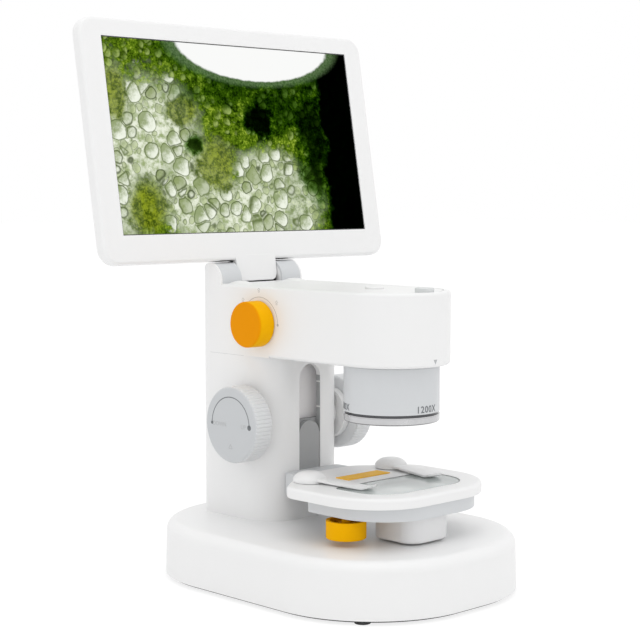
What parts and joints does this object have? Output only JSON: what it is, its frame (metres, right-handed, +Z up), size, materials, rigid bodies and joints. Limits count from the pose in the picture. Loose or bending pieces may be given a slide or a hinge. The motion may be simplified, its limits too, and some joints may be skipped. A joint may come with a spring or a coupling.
{
  "type": "lcd digital microscope",
  "caption": "Desk digital microscope with a tilting screen on its arm, a revolving lens turret, a rack-focused stage with clips and lamp, and a broad round-cornered base.",
  "frame": {"origin": "on the table under the middle of the base", "axes": "+X to the user's right, -Y towards the user, +Z up"},
  "size_m": [0.1776, 0.1648, 0.2562],
  "materials": {
    "white_plastic": "fine satin",
    "light_grey_plastic": "satin",
    "grey_plastic": "satin",
    "black_plastic": "satin",
    "orange_plastic": "satin",
    "foot_rubber": "matt",
    "ballast_iron": "rough",
    "steel": "brushed",
    "bearing_brass": "turned",
    "lip_chrome": "polished",
    "circuit_board": "satin lacquer",
    "cell_wrap": "gloss film",
    "optic_glass": "polished",
    "stage_glass": "polished",
    "display_glass": "matt film over a lit picture",
    "label_orange": "printed film",
    "lamp_white": "translucent"
  },
  "bodies": {
    "root": {"base_shell": "white_plastic", "base_plate": "black_plastic", "ballast_plate": "ballast_iron", "rubber_feet": "foot_rubber", "battery_pack": "cell_wrap", "column_shell": "white_plastic", "column_back_cover": "white_plastic", "housing_screws": "steel", "slot_liner": "grey_plastic", "guide_rods": "steel", "power_board": "circuit_board", "rear_ports": "steel", "shaft_bushes": "bearing_brass", "head_shell": "white_plastic", "ear_covers": "light_grey_plastic", "head_lower_cover": "white_plastic", "head_top_panel": "white_plastic", "hinge_pin": "steel", "main_board": "circuit_board", "sensor_board": "circuit_board", "camera_tube": "black_plastic", "selector_switch": "black_plastic", "button_board": "circuit_board", "turret_retainer": "black_plastic"},
    "stage": {"stage_plate": "white_plastic", "stage_glass": "stage_glass", "stage_label": "label_orange", "stage_tray": "light_grey_plastic", "light_panel": "light_grey_plastic", "diffuser": "lamp_white", "lamp_housing": "light_grey_plastic", "lamp_board": "circuit_board", "stage_bracket": "light_grey_plastic", "slider_cover": "grey_plastic", "stage_carriage": "grey_plastic", "carriage_bushes": "bearing_brass", "focus_rack": "bearing_brass", "clip_pins": "steel", "brightness_pot": "black_plastic"},
    "focus_drive": {"focus_shaft": "steel", "focus_pinion": "bearing_brass", "focus_knob_left": "light_grey_plastic", "focus_knob_right": "light_grey_plastic"},
    "turret": {"turret_shell": "light_grey_plastic", "turret_band": "black_plastic", "turret_lip": "lip_chrome", "objective_plate": "black_plastic", "objective_barrels": "black_plastic", "objective_lenses": "optic_glass"},
    "selector": {"selector_knob": "orange_plastic"},
    "screen": {"screen_bezel": "white_plastic", "screen_rear_cover": "white_plastic", "lcd_panel": "display_glass", "driver_board": "circuit_board", "hinge_bracket": "black_plastic"},
    "brightness": {"brightness_wheel": "orange_plastic"},
    "left_clip": {"clip_left": "white_plastic"},
    "right_clip": {"clip_right": "white_plastic"},
    "front_key": {"front_button": "white_plastic"},
    "rear_key": {"rear_button": "white_plastic"}
  },
  "joints": [
    {"name": "stage_slide", "type": "slide", "parent": "root", "child": "stage", "axis": [0, 0, 1], "range_m": [0, 0.022]},
    {"name": "focus_turn", "type": "hinge", "parent": "root", "child": "focus_drive", "pos_m": [0, 0.0313, 0.0721], "axis": [1, 0, 0], "range_deg": [0, 253]},
    {"name": "turret_turn", "type": "hinge", "parent": "root", "child": "turret", "pos_m": [0, -0.0338, 0.09], "axis": [0, 0, 1], "continuous": true},
    {"name": "selector_turn", "type": "hinge", "parent": "root", "child": "selector", "pos_m": [-0.03, 0.0244, 0.1182], "axis": [-1, 0, 0], "range_deg": [0, 141]},
    {"name": "screen_tilt", "type": "hinge", "parent": "root", "child": "screen", "pos_m": [0, 0.0591, 0.1365], "axis": [1, 0, 0], "range_deg": [-60, 30]},
    {"name": "brightness_turn", "type": "hinge", "parent": "stage", "child": "brightness", "pos_m": [-0.0295, -0.035, 0.033], "axis": [0, 0, 1], "range_deg": [0, 270]},
    {"name": "left_clip_turn", "type": "hinge", "parent": "stage", "child": "left_clip", "pos_m": [-0.0262, -0.009, 0.051], "axis": [0, 0, 1], "range_deg": [-60, 15]},
    {"name": "right_clip_turn", "type": "hinge", "parent": "stage", "child": "right_clip", "pos_m": [0.0262, -0.009, 0.051], "axis": [0, 0, 1], "range_deg": [-15, 60]},
    {"name": "front_button_press", "type": "slide", "parent": "root", "child": "front_key", "axis": [0, 0, -1], "range_m": [0, 0.0008], "stiffness_N_per_m": 1200, "springref_m": -0.0003},
    {"name": "rear_button_press", "type": "slide", "parent": "root", "child": "rear_key", "axis": [0, 0, -1], "range_m": [0, 0.0008], "stiffness_N_per_m": 1200, "springref_m": -0.0003}
  ],
  "couplings": [
    {"joint": "focus_turn", "follows": "stage_slide", "rad_per_m": 200}
  ]
}
